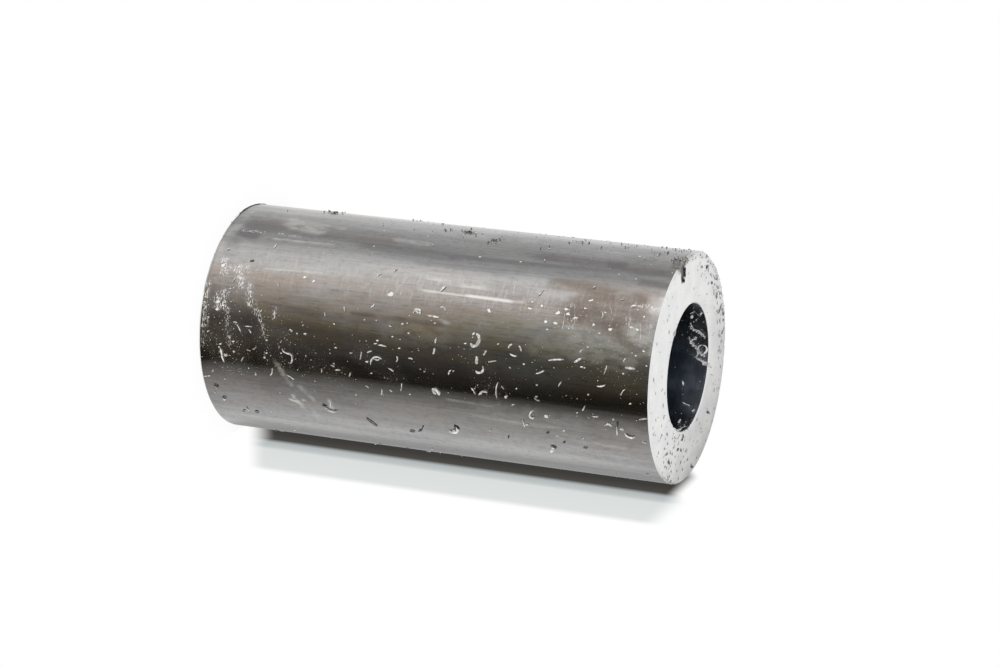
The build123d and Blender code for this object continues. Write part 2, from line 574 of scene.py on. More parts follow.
def nicked_end(turn, radius, height, zone, pit_painted_shade):
    """The nick, cut by a round-nosed bar lying along the radius, its edge worn wider. It has painted shade
    inside, darkest on its walls, lighter near the rim and on the skin."""
    worn, pale_from = 0.22, 16.9
    middle = OUTER - NICK_REACH
    angle = np.radians(turn_between(turn, NICK_TURN))
    aside = radius * np.sin(angle)
    inward = np.minimum(radius * np.cos(angle) - middle, 0)
    gap = np.hypot(aside, inward)
    half_width = np.sqrt(NICK_RADIUS**2 - (NICK_RADIUS - NICK_DEPTH) ** 2) + worn
    share = gap / half_width * (1 + 0.08 * np.sin(7 * np.arctan2(aside, inward - 0.3)))
    floor = LENGTH - NICK_DEPTH * (1 - np.clip(share, 0, 1) ** 4)
    cut = np.isin(zone, ["end", "rim", "skin"]) & (share < 1) & (floor < height) & (np.cos(angle) > 0)
    inner = np.where(zone == "skin", 0.2, 1 - 0.75 * smooth((radius - pale_from) / 0.6))
    pit_painted_shade = np.where(cut, np.maximum(pit_painted_shade, inner * (0.72 + 0.28 * smooth((share - 0.45) / 0.4))), pit_painted_shade)
    return np.where(cut, floor, height), pit_painted_shade


def marks_on_skin(turn, radius, height, zone):
    """How strongly each kind of mark shows at each point, by name."""
    fields = {}
    marked = np.isin(zone, ["skin", "rim", "end", "foot_rim"])
    for name, strokes in STROKES.items():
        field = np.zeros_like(turn)
        for *line, strength in strokes:
            field = np.maximum(field, strength * stroke(turn, height, *line))
        fields[name] = np.where(marked, field, 0)
    # Oil has browned the side that lies low and forward. Grime keeps to the very rim of the end.
    forward = turn_between(turn, 72)
    band = smooth((forward + 32) / 12) * smooth((30 - forward) / 8)
    skirt = 0.35 * smooth((52 - np.abs(turn_between(turn, 80))) / 20)
    fields["film"] = np.where(zone == "skin", np.maximum(fields["film"], np.maximum(0.85 * band, skirt)), 0)
    fields["grime"] = fields["grime"] * np.where(zone == "end", smooth((radius - (OUTER - 1.1)) / 0.5), 1)
    # Painted shade: the upper end darkens towards its far and lower side, and along its rim there and at
    # the top. The bore has painted shade on two sides.
    lean = np.cos(np.radians(turn_between(turn, -142)))
    far = smooth((lean * radius / OUTER + 0.15) / 1.1)
    edge = 0.18 * smooth((lean + 0.1) / 0.8) + 0.30 * bell(turn, -12, 30)
    edge = smooth((radius - OUTER + 1.7) / 1.4) * edge
    shaded = smooth(1.4 - np.abs(turn_between(turn, -55)) / 34)
    shaded = shaded + 0.7 * smooth(1.4 - np.abs(turn_between(turn, 178)) / 24)
    fields["dullness_and_painted_shade"] = np.where(zone == "bore", shaded, far * 0.46 + edge)
    return fields


def skin_mesh():
    """The whole sleeve as one closed skin, with the nick, pits, dents and worn edges as real shape."""
    columns = [np.array(column) for column in zip(*section_rows())]
    radius, height, zone = (np.repeat(column[:, None], AROUND, 1) for column in columns)
    zones = columns[2]
    turn = np.repeat(np.linspace(0, 360, AROUND, endpoint=False)[None, :], len(zones), 0)

    # The drawn outside wavers; the rims are turned true, so it fades out towards them.
    fade = smooth(np.minimum(height, LENGTH - height) / 2.0)
    radius = radius - np.where(zone == "skin", np.abs(waver(turn, height)) * fade, 0)
    local = np.random.default_rng(11)
    radius, height = dented_rims(turn, radius, height, zone, local)
    radius = torn_mouth(turn, radius, height, zone, local)
    height, pit_painted_shade = pitted_end(turn, radius, height, zone, local)
    height, pit_painted_shade = nicked_end(turn, radius, height, zone, pit_painted_shade)
    fields = {"pit_painted_shade": pit_painted_shade, **marks_on_skin(turn, radius, height, zone)}

    way = np.radians(turn + TOP)
    points = np.stack([radius * np.cos(way), radius * np.sin(way), height], -1).reshape(-1, 3) * MM
    index = np.arange(turn.size).reshape(turn.shape)
    below = np.roll(index, -1, 0)
    quads = np.stack([index, np.roll(index, -1, 1), np.roll(below, -1, 1), below], -1).reshape(-1, 4)
    piece = add_object("sleeve_skin", points, quads, drawn_skin(), faced_end(), drilled_bore())
    slots = np.select([zones == "skin", zones == "bore"], [0, 2], 1)
    piece.data.polygons.foreach_set("material_index", np.repeat(slots, AROUND).astype(np.int32))
    for name, field in fields.items():
        values = piece.data.attributes.new(name, "FLOAT", "POINT").data
        values.foreach_set("value", field.astype(np.float32).ravel())
    shade(piece, 30)
    return piece


# Swarf

def on_cylinder(radius, side, turn, height):
    """Takes a chip's own x (up the sleeve), y (round it) and h (off the wall) onto a wall, whose side is 1
    where it faces outwards and -1 where it faces the axis."""
    def place(x, y, h):
        way = radians(turn + TOP) + y / radius
        out = radius + side * h
        return np.stack([out * np.cos(way), out * np.sin(way), height + x], -1)
    return place


def on_wall(turn, height):
    return on_cylinder(OUTER, 1, turn, height)


def in_bore(turn, depth):
    """On the wall of the bore, with depth measured down from the upper end."""
    return on_cylinder(BORE, -1, turn, LENGTH - depth)


def on_end(turn, radius):
    """On the upper end, with x outwards and y round it."""
    out, round_it = direction(turn)[:2], direction(turn + 90)[:2]

    def place(x, y, h):
        flat = (radius + x)[..., None] * out + y[..., None] * round_it
        return np.concatenate([flat, (LENGTH + h)[..., None]], -1)
    return place


def bent(length, heading, bend):
    """A centre line of a given length that turns by bend degrees. A heading of 0 runs up the sleeve or
    outwards, and 90 runs round it."""
    steps = int(np.clip(6 + abs(bend) / 14 + length * 3, 8, 30))
    way = np.radians(heading - bend / 2 + np.linspace(0, 1, steps) * bend)
    ds = length / (steps - 1)
    x = np.concatenate([[0], np.cumsum(np.cos(way[:-1]) * ds)])
    y = np.concatenate([[0], np.cumsum(np.sin(way[:-1]) * ds)])
    return x - x.mean(), y - y.mean()


def stray(shortest, longest, most_bend):
    """The centre line of a chip of no set shape."""
    return bent(rng.uniform(shortest, longest), rng.uniform(0, 180), rng.uniform(-most_bend, most_bend))


def traced(marks, radius):
    """A smooth centre line through marks, each a turn and a height."""
    x = np.array([height for _, height in marks], float)
    y = np.radians([turn for turn, _ in marks]) * radius
    knots = np.arange(len(marks), dtype=float)
    fine = np.linspace(0, knots[-1], 8 * (len(marks) - 1) + 1)
    k = np.clip(fine.astype(int), 0, len(marks) - 2)
    t = fine - k

    def through(v):
        slope = np.gradient(v)
        return ((2 * t**3 - 3 * t**2 + 1) * v[k] + (t**3 - 2 * t**2 + t) * slope[k]
                + (3 * t**2 - 2 * t**3) * v[k + 1] + (t**3 - t**2) * slope[k + 1])
    return through(x), through(y)


class Swarf:
    """One piece of the scene: many chips in one mesh."""

    def __init__(self, name, material):
        self.name, self.material = name, material
        self.points, self.faces, self.count = [], [], 0

    def add(self, points, faces):
        self.points.append(points)
        self.faces += [[corner + self.count for corner in face] for face in faces]
        self.count += len(points)

    def ribbon(self, place, line, width=0.22, lift=0.06, thickness=0.09, coil=0.0):
        """A curl or sliver: a ribbon of steel along a line, twisting as it goes, or wound into a coil."""
        x, y = line
        steps = len(x)
        share = np.linspace(0, 1, steps)
        way = np.arctan2(np.gradient(y), np.gradient(x))
        taper = np.minimum(1, 0.35 + 3.2 * np.minimum(share, 1 - share))
        taper = taper * (1 + 0.18 * np.sin(share * 17 + x[0] * 9))
        twist = np.radians(rng.uniform(-40, 40)) * np.sin(share * pi + rng.uniform(0, 2))
        h = thickness + lift * np.abs(np.sin(share * pi * rng.uniform(0.6, 1.6) + rng.uniform(0, 3)))
        if coil:
            length = np.hypot(np.diff(x), np.diff(y)).sum()
            phase = share * 2 * pi * length / (coil * 2.6)
            x, y = x - coil * np.cos(phase) * np.sin(way), y + coil * np.cos(phase) * np.cos(way)
            h = h + coil * (1 + np.sin(phase)) * 0.8
            way = np.arctan2(np.gradient(y), np.gradient(x))
        corners = []
        for a, b in ((-0.5, -0.5), (0.5, -0.5), (0.62, 0.35), (0.0, 0.62), (-0.62, 0.35)):
            aside = (a * width * np.cos(twist) - b * thickness * np.sin(twist)) * taper
            off = (b * thickness * np.cos(twist) + a * width * np.sin(twist)) * taper
            off = np.maximum(h + off, 0.005)
            corners.append(place(x - aside * np.sin(way), y + aside * np.cos(way), off))
        points = np.stack(corners, 1).reshape(-1, 3)
        sides = len(corners)
        ring, last = range(sides), (steps - 1) * sides
        faces = [[k + s, k + (s + 1) % sides, k + sides + (s + 1) % sides, k + sides + s]
                 for k in range(0, last, sides) for s in ring]
        self.add(points, faces + [list(ring)[::-1], [last + s for s in ring]])

    def ribbons(self, place, rows, **look):
        """A ribbon for each row: two numbers that place it, then its length, heading, bend and width."""
        for first, second, length, heading, bend, width in rows:
            self.ribbon(place(first, second), bent(length, heading, bend), width, **look)

    def flake(self, place, size, heading=0.0, thick=0.05, curl=0.30):
        """A torn scrap, bent up at its corners by a share of its size."""
        sides = int(rng.integers(5, 9))
        way = np.sort(rng.uniform(0, 2 * pi, sides)) + radians(heading)
        reach = size / 2 * rng.uniform(0.85 if curl < 0.1 else 0.55, 1.1, sides)
        x, y = reach * np.cos(way) * 1.2, reach * np.sin(way) * 0.85
        edge = rng.uniform(0.0, curl, sides) * size + 0.01
        under = place(x * 0.9, y * 0.9, np.full(sides, 0.004))
        over = place(x, y, edge + thick)
        crown = place(np.array([0.0]), np.array([0.0]), np.array([thick + size * rng.uniform(0.1, 0.3)]))
        faces = [list(range(sides))[::-1]]
        faces += [[s, (s + 1) % sides, sides + (s + 1) % sides, sides + s] for s in range(sides)]
        faces += [[sides + s, sides + (s + 1) % sides, 2 * sides] for s in range(sides)]
        self.add(np.concatenate([under, over, crown]), faces)

    def grit(self, place, size):
        """A crumb with six corners."""
        x = np.array([0.5, 0, -0.5, 0, 0, 0]) * size * rng.uniform(0.6, 1.3)
        y = np.array([0, 0.5, 0, -0.5, 0, 0]) * size * rng.uniform(0.6, 1.3)
        h = np.array([0.35, 0.25, 0.4, 0.3, 0.75, 0.0]) * size
        faces = [[k, (k + 1) % 4, 4] for k in range(4)] + [[(k + 1) % 4, k, 5] for k in range(4)]
        self.add(place(x, y, h), faces)

    def build(self):
        piece = add_object(self.name, np.concatenate(self.points) * MM, self.faces, self.material)
        shade(piece, 50)
        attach(piece, "root")


# Curls and slivers that stand out on the outside: turn, height, length, heading, bend, width.
CURLS = [
    (80, 47.25, 1.2, 88, 10, 0.5), (76, 48.5, 0.9, 115, 30, 0.26), (79.6, 49.8, 1.3, -14, 8, 0.18),
    (71.2, 52.4, 0.9, -50, 60, 0.26), (71.8, 54.1, 1, 58, 50, 0.26), (75.5, 53.1, 1.2, 8, -55, 0.22),
    (75.1, 60, 2.5, -9, 12, 0.22), (74.1, 63.4, 1.25, -34, 8, 0.34), (82, 57.6, 1.45, -26, -20, 0.22),
    (74.8, 71.7, 1.6, 0, 4, 0.36), (56, 71.4, 1.6, 14, 10, 0.36), (84.9, 67.4, 1.4, -18, -55, 0.26),
    (93.4, 50.6, 2.7, 94, -45, 0.18), (95.5, 46.8, 1.2, 58, 30, 0.24), (95.7, 48.3, 1.8, -18, 115, 0.24),
    (73.2, 40.3, 0.7, 95, 10, 0.28), (78.2, 40.2, 1, 100, 45, 0.28), (61.6, 39.3, 2, 3, 6, 0.26),
    (47, 39.8, 1.1, -55, 20, 0.36), (78.6, 31.6, 1.45, 4, 18, 0.22), (85, 28.1, 1.3, 100, 8, 0.24),
    (82.4, 29.5, 0.8, -25, 5, 0.22), (98.5, 34.8, 1.35, 100, 28, 0.2), (102.5, 31.4, 1.1, 105, 50, 0.2),
    (100.6, 29, 0.7, 30, 60, 0.2), (95.2, 26.2, 0.8, 110, 20, 0.24), (99.4, 12.7, 1.4, 112, 60, 0.24),
    (100.8, 15.9, 1.4, 27, 4, 0.26), (77.3, 8.8, 1.25, -2, 4, 0.17), (78.6, 7.1, 1.35, 54, 6, 0.17),
    (76, 6.4, 0.7, 5, 5, 0.24), (93.6, 24.2, 0.9, -8, 10, 0.26), (91.8, 23.3, 0.7, 20, 20, 0.22),
    (95, 21.4, 0.7, 95, 10, 0.22), (106.5, 1.1, 1.4, -14, 20, 0.22), (114.6, 22.1, 1.5, 100, -50, 0.16),
    (126.2, 58.3, 2, 115, 25, 0.6), (107, 69.7, 1.9, 94, 8, 0.24), (104.5, 68.3, 1.3, -8, 90, 0.22),
    (98.8, 74, 1.3, -14, 18, 0.26), (100.8, 66.4, 1, -5, 8, 0.26), (97.3, 64.6, 1, 118, 8, 0.26),
    (86.5, 70.8, 1.3, 120, -60, 0.18), (77, 67.9, 1.4, 105, 20, 0.14), (86.5, 60.8, 1, 118, -15, 0.18),
    (110.2, 54.6, 1.3, 86, 8, 0.18), (51, 66, 1.3, 75, 100, 0.16), (43.2, 55.5, 1.4, 118, 6, 0.16),
    (60.2, 36.6, 1.9, 10, 200, 0.24), (57, 40.7, 1.2, 30, 120, 0.22), (90, 33.2, 1, 28, 15, 0.2),
]
# Curls whose line is less even: marks along each, as a turn and a height, then its width.
TRACED = [
    ([(67.2, 46.75), (68.6, 47.25), (70.6, 47.35), (72.9, 47), (73.4, 46.45), (72.2, 46.05)], 0.36),
    ([(67, 46.5), (68.2, 46.2)], 0.22),
    ([(82.4, 48.35), (84.2, 48.45), (85.6, 48.1), (85.9, 47.5), (85, 47.2)], 0.26),
    ([(88.6, 29.8), (86.4, 29.9), (84.9, 30.3), (84.4, 31), (85.2, 31.6)], 0.2),
    ([(85.4, 30.2), (85.9, 30.9), (85.5, 31.3)], 0.12),
    ([(86.2, 14.7), (87.7, 14.95), (88.3, 15.6), (88.7, 16.25), (90.6, 16.45), (92.4, 16.35),
      (93.3, 16.05)], 0.17),
    ([(118.3, 43.1), (120.6, 43.15), (122.3, 42.8), (122.9, 42.2), (122.5, 41.6)], 0.34),
    ([(121, 42.7), (121.6, 42.2)], 0.2),
    ([(101.4, 56.5), (103, 56), (105.2, 55.8), (106.2, 56.2), (105.4, 56.5)], 0.2),
    ([(108.2, 70.9), (109.6, 71.4), (110, 72), (109.2, 72.5)], 0.26),
    ([(117.2, 21), (118.6, 21.5), (119.2, 22.2), (118.6, 23)], 0.18),
    ([(96.9, 48), (95.5, 48.1), (94.9, 48.6), (95.3, 49.1)], 0.24),
    ([(104.6, 68), (103.8, 68.5), (104.9, 69)], 0.22),
    ([(60.8, 36), (59.4, 36.2), (59.2, 36.8), (60.2, 37.1), (61, 36.7)], 0.24),
    ([(60, 36.3), (60.6, 36.8)], 0.2), ([(97, 40), (97.3, 40.5), (98.6, 41), (100, 41.1)], 0.4),
    ([(97, 40), (98.2, 40.2), (99.9, 40.5)], 0.3),
    ([(89.6, 3.9), (92.2, 4.15), (94.6, 4.3), (97.3, 4.45)], 0.24), ([(92.9, 4.5), (93.4, 5.2)], 0.34),
]
# Fine bright scratches across the oiled side, whose burr stands up: from and to, each a turn and a height.
SCRATCHES = [
    ((51.5, 60), (61, 60.2)), ((48, 61.3), (58.5, 62)), ((47, 70.1), (60.5, 70.6)),
    ((52, 72), (62.5, 72.7)), ((40.5, 51), (47, 51.2)), ((45.5, 66.6), (50, 67.4)),
    ((46, 32.9), (53.5, 33.2)),
]
# A burr turned up along the foot's rim: marks as a turn and a height.
BURR = [(12, 0.36), (5, 0.32), (-5, 0.32), (-13, 0.4), (-17, 0.65)]
# Torn scraps on the outside: turn, height and size.
FLAKES = [
    (53, 31.6, 1), (84.5, 26.4, 0.8), (96.5, 52.1, 0.8), (52.5, 58.9, 0.75), (52.5, 60.7, 0.6),
    (51.8, 54.5, 0.6), (50, 56.1, 0.55), (54.3, 62, 0.65), (57.7, 59, 0.6), (57.7, 57.4, 0.5),
    (57.7, 67.7, 0.55), (50.2, 60.2, 0.55), (48.6, 63.1, 0.4), (56.3, 64.9, 0.5), (60.1, 66.2, 0.45),
    (61.2, 57.9, 0.4), (49.5, 72.4, 0.4), (44.8, 70.5, 0.75), (55.5, 48.1, 0.7), (101.3, 32.9, 0.7),
    (101.8, 36.2, 0.55), (87.5, 29.1, 0.6), (68.5, 72.5, 0.6), (66, 73.5, 0.6), (73, 74.1, 0.45),
    (77, 64.1, 0.5), (77.7, 70.7, 0.45), (79, 54.9, 0.45), (81.5, 52.7, 0.4), (88.3, 57.1, 0.45),
    (94.3, 57, 0.55), (101, 69.2, 0.65), (100.3, 53.2, 0.6), (104, 58.5, 0.9), (106, 70.5, 1),
    (115.3, 59.7, 0.6), (118, 48.8, 0.65), (86.8, 43.5, 0.45), (88.7, 38.7, 0.5), (72.7, 45.1, 0.5),
    (69.2, 46.2, 0.4), (65, 39.8, 0.5), (71, 35.7, 0.45), (67, 34.5, 0.5), (73.7, 33.1, 0.45),
    (51, 18.3, 0.6), (49.5, 16.7, 0.5), (73.5, 18.1, 0.5), (77.5, 18.5, 0.6), (82.5, 23.8, 0.5),
    (101.3, 20.2, 0.5), (102, 9.8, 0.5), (67, 3.1, 0.9), (68.6, 3.9, 0.7), (70.8, 3, 0.7), (48, 2.5, 0.7),
    (85.8, 6.2, 0.55), (91, 6.3, 0.6), (89.5, 9, 0.6), (92, 11.5, 0.7), (83, 12, 0.45), (121, 3, 0.8),
    (90, 65.4, 0.5), (92, 72, 0.6), (111.5, 61, 0.7), (78.8, 34.4, 0.45), (76.5, 30.7, 0.5),
    (78, 17, 0.5), (44, 63.6, 0.6),
]
# Slivers that show dark against the bright side of the sleeve: turn, height, length, heading, bend, width.
DARK_SLIVERS = [
    (123.8, 28.4, 2.4, 52, -6, 0.17), (127, 35, 1, 8, 20, 0.18), (125.4, 36.5, 0.9, -28, 15, 0.17),
    (122.6, 37.1, 0.7, -65, 10, 0.17), (119, 42.9, 1, 75, 30, 0.26), (115.9, 20.9, 0.9, 35, 10, 0.2),
    (112, 2.3, 1, 30, 80, 0.16), (119.6, 3.1, 0.9, -10, 60, 0.16), (128.5, 8, 0.8, 10, 30, 0.18),
    (129, 5.7, 0.5, 0, 20, 0.15), (124, 58.7, 1.1, 40, 70, 0.24), (119.3, 60.7, 0.5, -20, 10, 0.14),
    (114.3, 58.3, 0.6, -10, 20, 0.14), (103.6, 69.8, 0.9, 95, 5, 0.22), (43.7, 7, 0.7, -30, 20, 0.18),
    (2.5, 39, 1.4, 20, 120, 0.2), (9.5, 44.1, 1.1, -20, 30, 0.18), (-8, 14.4, 1.3, 10, 60, 0.24),
    (121.5, 64, 0.8, 20, 60, 0.13), (121, 51.5, 0.6, 100, 10, 0.13),
]
# Heaps of dark crumbs along the top of the lying sleeve: turn, height, spread and number.
CRUMBS = [
    (-7, 14.2, 0.8, 16), (-12, 13, 0.6, 8), (3, 38.8, 0.9, 24), (9, 44, 0.7, 10), (1, 35.2, 0.6, 6),
    (-13, 28.4, 0.5, 8), (-2, 57, 0.8, 12), (5, 61.5, 0.6, 5), (-4, 64.8, 0.7, 8), (3, 70.2, 0.7, 10),
    (-12, 69.5, 1, 6), (-6, 73.6, 0.9, 12), (8, 73.8, 0.7, 12), (12, 53, 0.4, 4), (4, 25, 0.4, 3),
    (-2, 7, 0.4, 3),
]
# Curls in the bore: turn, depth, length, heading, bend, width.
BORE_CURLS = [
    (-81, 3.2, 0.9, 100, 60, 0.14), (-66, 2.7, 1.2, 110, 60, 0.15), (-144, 2.2, 1.5, 158, 6, 0.18),
    (-123, 3.7, 0.9, 120, 60, 0.2), (-104, 0.2, 1.6, 170, 40, 0.3), (-167, 2.1, 0.9, 85, 60, 0.24),
    (-54, 2.3, 0.9, 70, 20, 0.3), (-47, 0.6, 0.9, 60, 40, 0.22), (-96, 2, 1.4, 60, 90, 0.18),
    (173, 1, 1.2, 60, 70, 0.22), (150, 0.5, 1, 80, 90, 0.22), (-178, 0.9, 0.9, 20, 60, 0.2),
]
# Tangled wires of swarf in the bore: marks as a turn and a depth, then width and radius of winding.
BORE_WIRES = [
    ([(-103.5, -0.1), (-102, 0.6), (-100, 1.3), (-98.5, 2)], 0.24, 0.12),
    ([(-96, 0.6), (-94.5, 1.1), (-92.5, 1.7), (-89.5, 2), (-87, 2.4), (-84.5, 2.8),
      (-82, 3.2)], 0.22, 0.24),
    ([(-85.7, 1.1), (-87, 0.6), (-90, 0.4), (-93, 0.7), (-94.8, 1.2), (-93, 1.7), (-90, 1.9),
      (-87, 1.6), (-85.8, 1.2)], 0.22, 0), ([(-83, 3), (-81, 2.6), (-79.5, 2.1), (-78, 2.3)], 0.18, 0.12),
    ([(-78.5, 0.6), (-75.5, 0.9), (-73.3, 1.4), (-71.5, 1.9), (-69.5, 2.5), (-67.3, 3.1)], 0.2, 0.18),
    ([(-77, 1.2), (-73, 1.3), (-70, 1.9)], 0.16, 0.1), ([(-102.5, 0.1), (-103.5, -0.3)], 0.42, 0),
]
# Scraps on the upper end, dark and bright: turn, radius, length, heading, bend, width.
END_DARK = [
    (167, 10.8, 1.5, 150, 140, 0.2), (-136, 14.2, 1.4, 20, 20, 0.28), (-70, 15.8, 2.2, 20, 20, 0.16),
    (-58, 15.2, 1.2, 40, 30, 0.14), (-50, 16.9, 0.9, 70, 40, 0.16), (-76, 17, 0.8, 30, 40, 0.18),
    (-86, 16.2, 0.7, 60, 50, 0.16), (-30, 16.2, 0.9, 80, 30, 0.3), (159, 12.6, 0.5, 10, 10, 0.28),
    (166, 12.7, 0.5, 5, 10, 0.26), (145, 15.2, 0.6, 60, 60, 0.26), (-172, 17, 0.7, 80, 60, 0.3),
    (-44, 15, 0.5, 60, 20, 0.26),
]
END_BRIGHT = [
    (150, 11, 1.6, 100, 60, 0.2), (158, 10.6, 1, 150, 80, 0.22), (172, 10.7, 1.2, 60, 60, 0.22),
    (142, 10.8, 0.9, 10, 50, 0.2), (43, 10.3, 1, 90, 60, 0.22), (-62, 16.6, 0.9, 30, 80, 0.2),
    (-120, 15, 0.9, 70, 60, 0.18), (150, 14.9, 0.6, 30, 60, 0.24), (-80, 12, 0.7, 20, 90, 0.18),
]


def scatter_on_wall(curls, flakes, grit, dark):
    """Fine swarf all round: thickest in the band that lies low and forward, and near the foot there."""
    def spot():
        while True:
            turn, height = rng.uniform(-180, 180), rng.uniform(0.6, LENGTH - 0.6)
            front = bell(turn, DARK_BAND, 24)
            foot = np.exp(-(height / 16) ** 2) * bell(turn, 78, 30)
            if rng.random() < 0.09 + 0.32 * front + 0.75 * foot:
                return turn, height

    for _ in range(60):
        curls.ribbon(on_wall(*spot()), stray(0.35, 1.0, 110), rng.uniform(0.08, 0.15), lift=0.05)
    for _ in range(90):
        flakes.flake(on_wall(*spot()), rng.uniform(0.14, 0.36), rng.uniform(0, 360), thick=0.03)
    for _ in range(950):
        grit.grit(on_wall(*spot()), 0.05 + 0.15 * rng.random() ** 2)
    for turn, height, spread, number in CRUMBS:
        for _ in range(number):
            place = on_wall(turn + 3 * spread * rng.normal(), height + spread * rng.normal())
            (grit if rng.random() < 0.25 else dark).grit(place, rng.uniform(0.10, 0.34))
    # Dark grit along the top, more of it on the foot's rim, and slivers on the side that faces away.
    for _ in range(70):
        dark.grit(on_wall(rng.uniform(-24, 14), rng.uniform(30, LENGTH - 0.5)), rng.uniform(0.06, 0.16))
    for _ in range(60):
        dark.grit(on_wall(rng.uniform(-45, 20), rng.uniform(0.05, 0.5)), rng.uniform(0.06, 0.20))
    for _ in range(70):
        place = on_wall(rng.uniform(152, 352), rng.uniform(1, LENGTH - 1))
        dark.ribbon(place, stray(0.3, 0.9, 70), rng.uniform(0.12, 0.22), lift=0.04)


def swarf_outside(bright, fresh, burnt):
    """Placed curls, slivers and scraps, and the fine swarf between them."""
    curls, flakes = Swarf("swarf_curls", bright), Swarf("swarf_flakes", fresh)
    grit, dark = Swarf("swarf_grit", bright), Swarf("swarf_dark", burnt)
    for turn, height, length, heading, bend, width in CURLS:
        share = 0.6 if turn > DARK_BAND else 0.78
        curls.ribbon(on_wall(turn, height), bent(length, heading, bend), share * width)
    for marks, width in TRACED:
        curls.ribbon(on_wall(0, 0), traced(marks, OUTER), width, lift=0.12, thickness=0.11)
    for start, end in SCRATCHES:
        middle = ((start[0] + end[0]) / 2, (start[1] + end[1]) / 2 + 0.1)
        curls.ribbon(on_wall(0, 0), traced([start, middle, end], OUTER), 0.04, lift=0.0, thickness=0.02)
    for turn, height, size in FLAKES:
        near_top = turn < 60
        heap = curls if turn > DARK_BAND else flakes
        heap.flake(on_wall(turn, height), size if near_top else 0.8 * size, rng.uniform(0, 360),
                   curl=0.05 if near_top else 0.25)
    dark.ribbons(on_wall, DARK_SLIVERS)
    dark.ribbon(on_wall(0, 0), traced(BURR, OUTER), 0.16, lift=0.02, thickness=0.06)
    scatter_on_wall(curls, flakes, grit, dark)
    for heap in (curls, flakes, grit, dark):
        heap.build()


def swarf_in_bore(fresh):
    """Curls and tangled wires just inside the bore, with crumbs among them."""
    in_hole = Swarf("swarf_in_bore", fresh)
    in_hole.ribbons(in_bore, BORE_CURLS, lift=0.25)
    for marks, width, coil in BORE_WIRES:
        line = traced([(turn, -depth) for turn, depth in marks], BORE)
        in_hole.ribbon(in_bore(0, 0), line, width, lift=0.1, coil=coil)
    for _ in range(110):
        place = in_bore(rng.uniform(-180, 180), 10 * rng.random() ** 1.6 + 0.2)
        in_hole.grit(place, rng.uniform(0.06, 0.2))
    for _ in range(45):
        in_hole.grit(in_bore(rng.uniform(-98, -40), rng.uniform(0.2, 4.0)), rng.uniform(0.08, 0.2))
    for _ in range(9):
        line = stray(0.4, 1.2, 90)
        in_hole.ribbon(in_bore(rng.uniform(-180, 180), rng.uniform(0.3, 9)), line, rng.uniform(0.08, 0.16))
    in_hole.build()


def swarf_on_end(bright, burnt):
    """Scraps and crumbs on the upper end."""
    on_top, on_top_dark = Swarf("swarf_on_end", bright), Swarf("swarf_on_end_dark", burnt)
    on_top.ribbons(on_end, END_BRIGHT, lift=0.04, thickness=0.07)
    # One chip has dropped into the nick.
    nick_end = on_end(NICK_TURN - 2.2, OUTER - NICK_REACH - 0.6)
    on_top.flake(lambda x, y, h: nick_end(x, y, h - 0.6 * NICK_DEPTH), 0.55)
    for _ in range(55):
        turn, radius = rng.uniform(-80, 8), OUTER - 0.15 - 1.3 * rng.random() ** 1.3
        on_top_dark.grit(on_end(turn, radius), rng.uniform(0.06, 0.17))
    on_top_dark.ribbons(on_end, END_DARK, lift=0.03, thickness=0.06)
    for _ in range(120):
        place = on_end(rng.uniform(-180, 180), rng.uniform(BORE + 0.4, OUTER - 0.5))
        heap = on_top_dark if rng.random() < 0.35 else on_top
        heap.grit(place, rng.uniform(0.06, 0.18))
    on_top.build()
    on_top_dark.build()


def add_swarf():
    bright = chip_steel("bright_swarf", (0.95, 0.94, 0.91), (0.5, 0.48, 0.45), 0.20, 0.36)
    fresh = chip_steel("fresh_swarf", (0.98, 0.975, 0.96), (0.86, 0.84, 0.81), 0.06, 0.34)
    burnt = chip_steel("dark_swarf", (0.15, 0.15, 0.14), (0.04, 0.04, 0.04), 0.6, 0.42)
    swarf_outside(bright, fresh, burnt)
    swarf_in_bore(fresh)
    swarf_on_end(bright, burnt)


# Stage, light and camera

# What the sleeve's sides mirror, as a studio would be hung with grey and black cards: turn and brightness.
SURROUND = [
    (-180, 0.47), (-165, 0.39), (-150, 0.42), (-130, 0.5), (-110, 0.8), (-92, 0.7), (-78, 0.8),
    (-67, 0.86), (-48, 0.86), (-38, 0.78), (-21, 0.66), (-5, 0.43), (3, 0.45), (11, 0.52), (19, 0.78),
    (26, 1), (34, 1), (41, 0.9), (48, 0.7), (55, 0.56), (62, 0.36), (69, 0.24), (76, 0.105), (89, 0.078),
    (99, 0.015), (107, 0.001), (112, 0.14), (127, 0.44), (143, 0.58), (157, 0.75), (168, 0.73),
]
SURROUND_RADIUS = 30.0
SURROUND_HEIGHT = 84.0


def add_stage(name, points, faces, material, hidden):
    """Scenery, given in millimetres and hidden from some kinds of ray."""
    made = add_object(name, np.array(points) * MM, faces, material)
    for ray in hidden:
        setattr(made, "visible_" + ray, False)
    return made


def add_floor():
    """White glowing floor with the sleeve's soft contact shadow, painted from ambient occlusion and faded
    towards the camera.
    """
    g = surface("floor")
    shadow_reach, camera_side, far = 0.007, 62, 3000
    # Painted contact shadow: ambient occlusion turned into the floor's glow.
    near = g.node("AmbientOcclusion", {"Distance": shadow_reach}, samples=16)
    white = g.ramp(near.outputs["AO"], [(0.0, 0.32), (0.5, 0.70), (0.75, 0.93), (0.9, 1.0)])
    front = g.along(g.millimetres(), direction(camera_side))
    white = g.mix(g.step(front, -18.0, 2.0, 0.0, 0.92), white, 1.0)
    corners = [(-far, -far, 0), (far, -far, 0), (far, far, 0), (-far, far, 0)]
    add_stage("floor", corners, [[0, 1, 2, 3]], g.finish(g.lit(white)), ["shadow"])


def add_sheet(name, g, colour, points, faces):
    """A sheet that only the camera sees, lit on the side that is uppermost when the sleeve lies."""
    hidden = ["diffuse", "glossy", "transmission", "shadow"]
    made = add_stage(name, points, faces, g.one_sided(colour), hidden)
    if made.data.polygons[0].normal.dot(Vector(direction(0))) < 0:
        made.data.flip_normals()


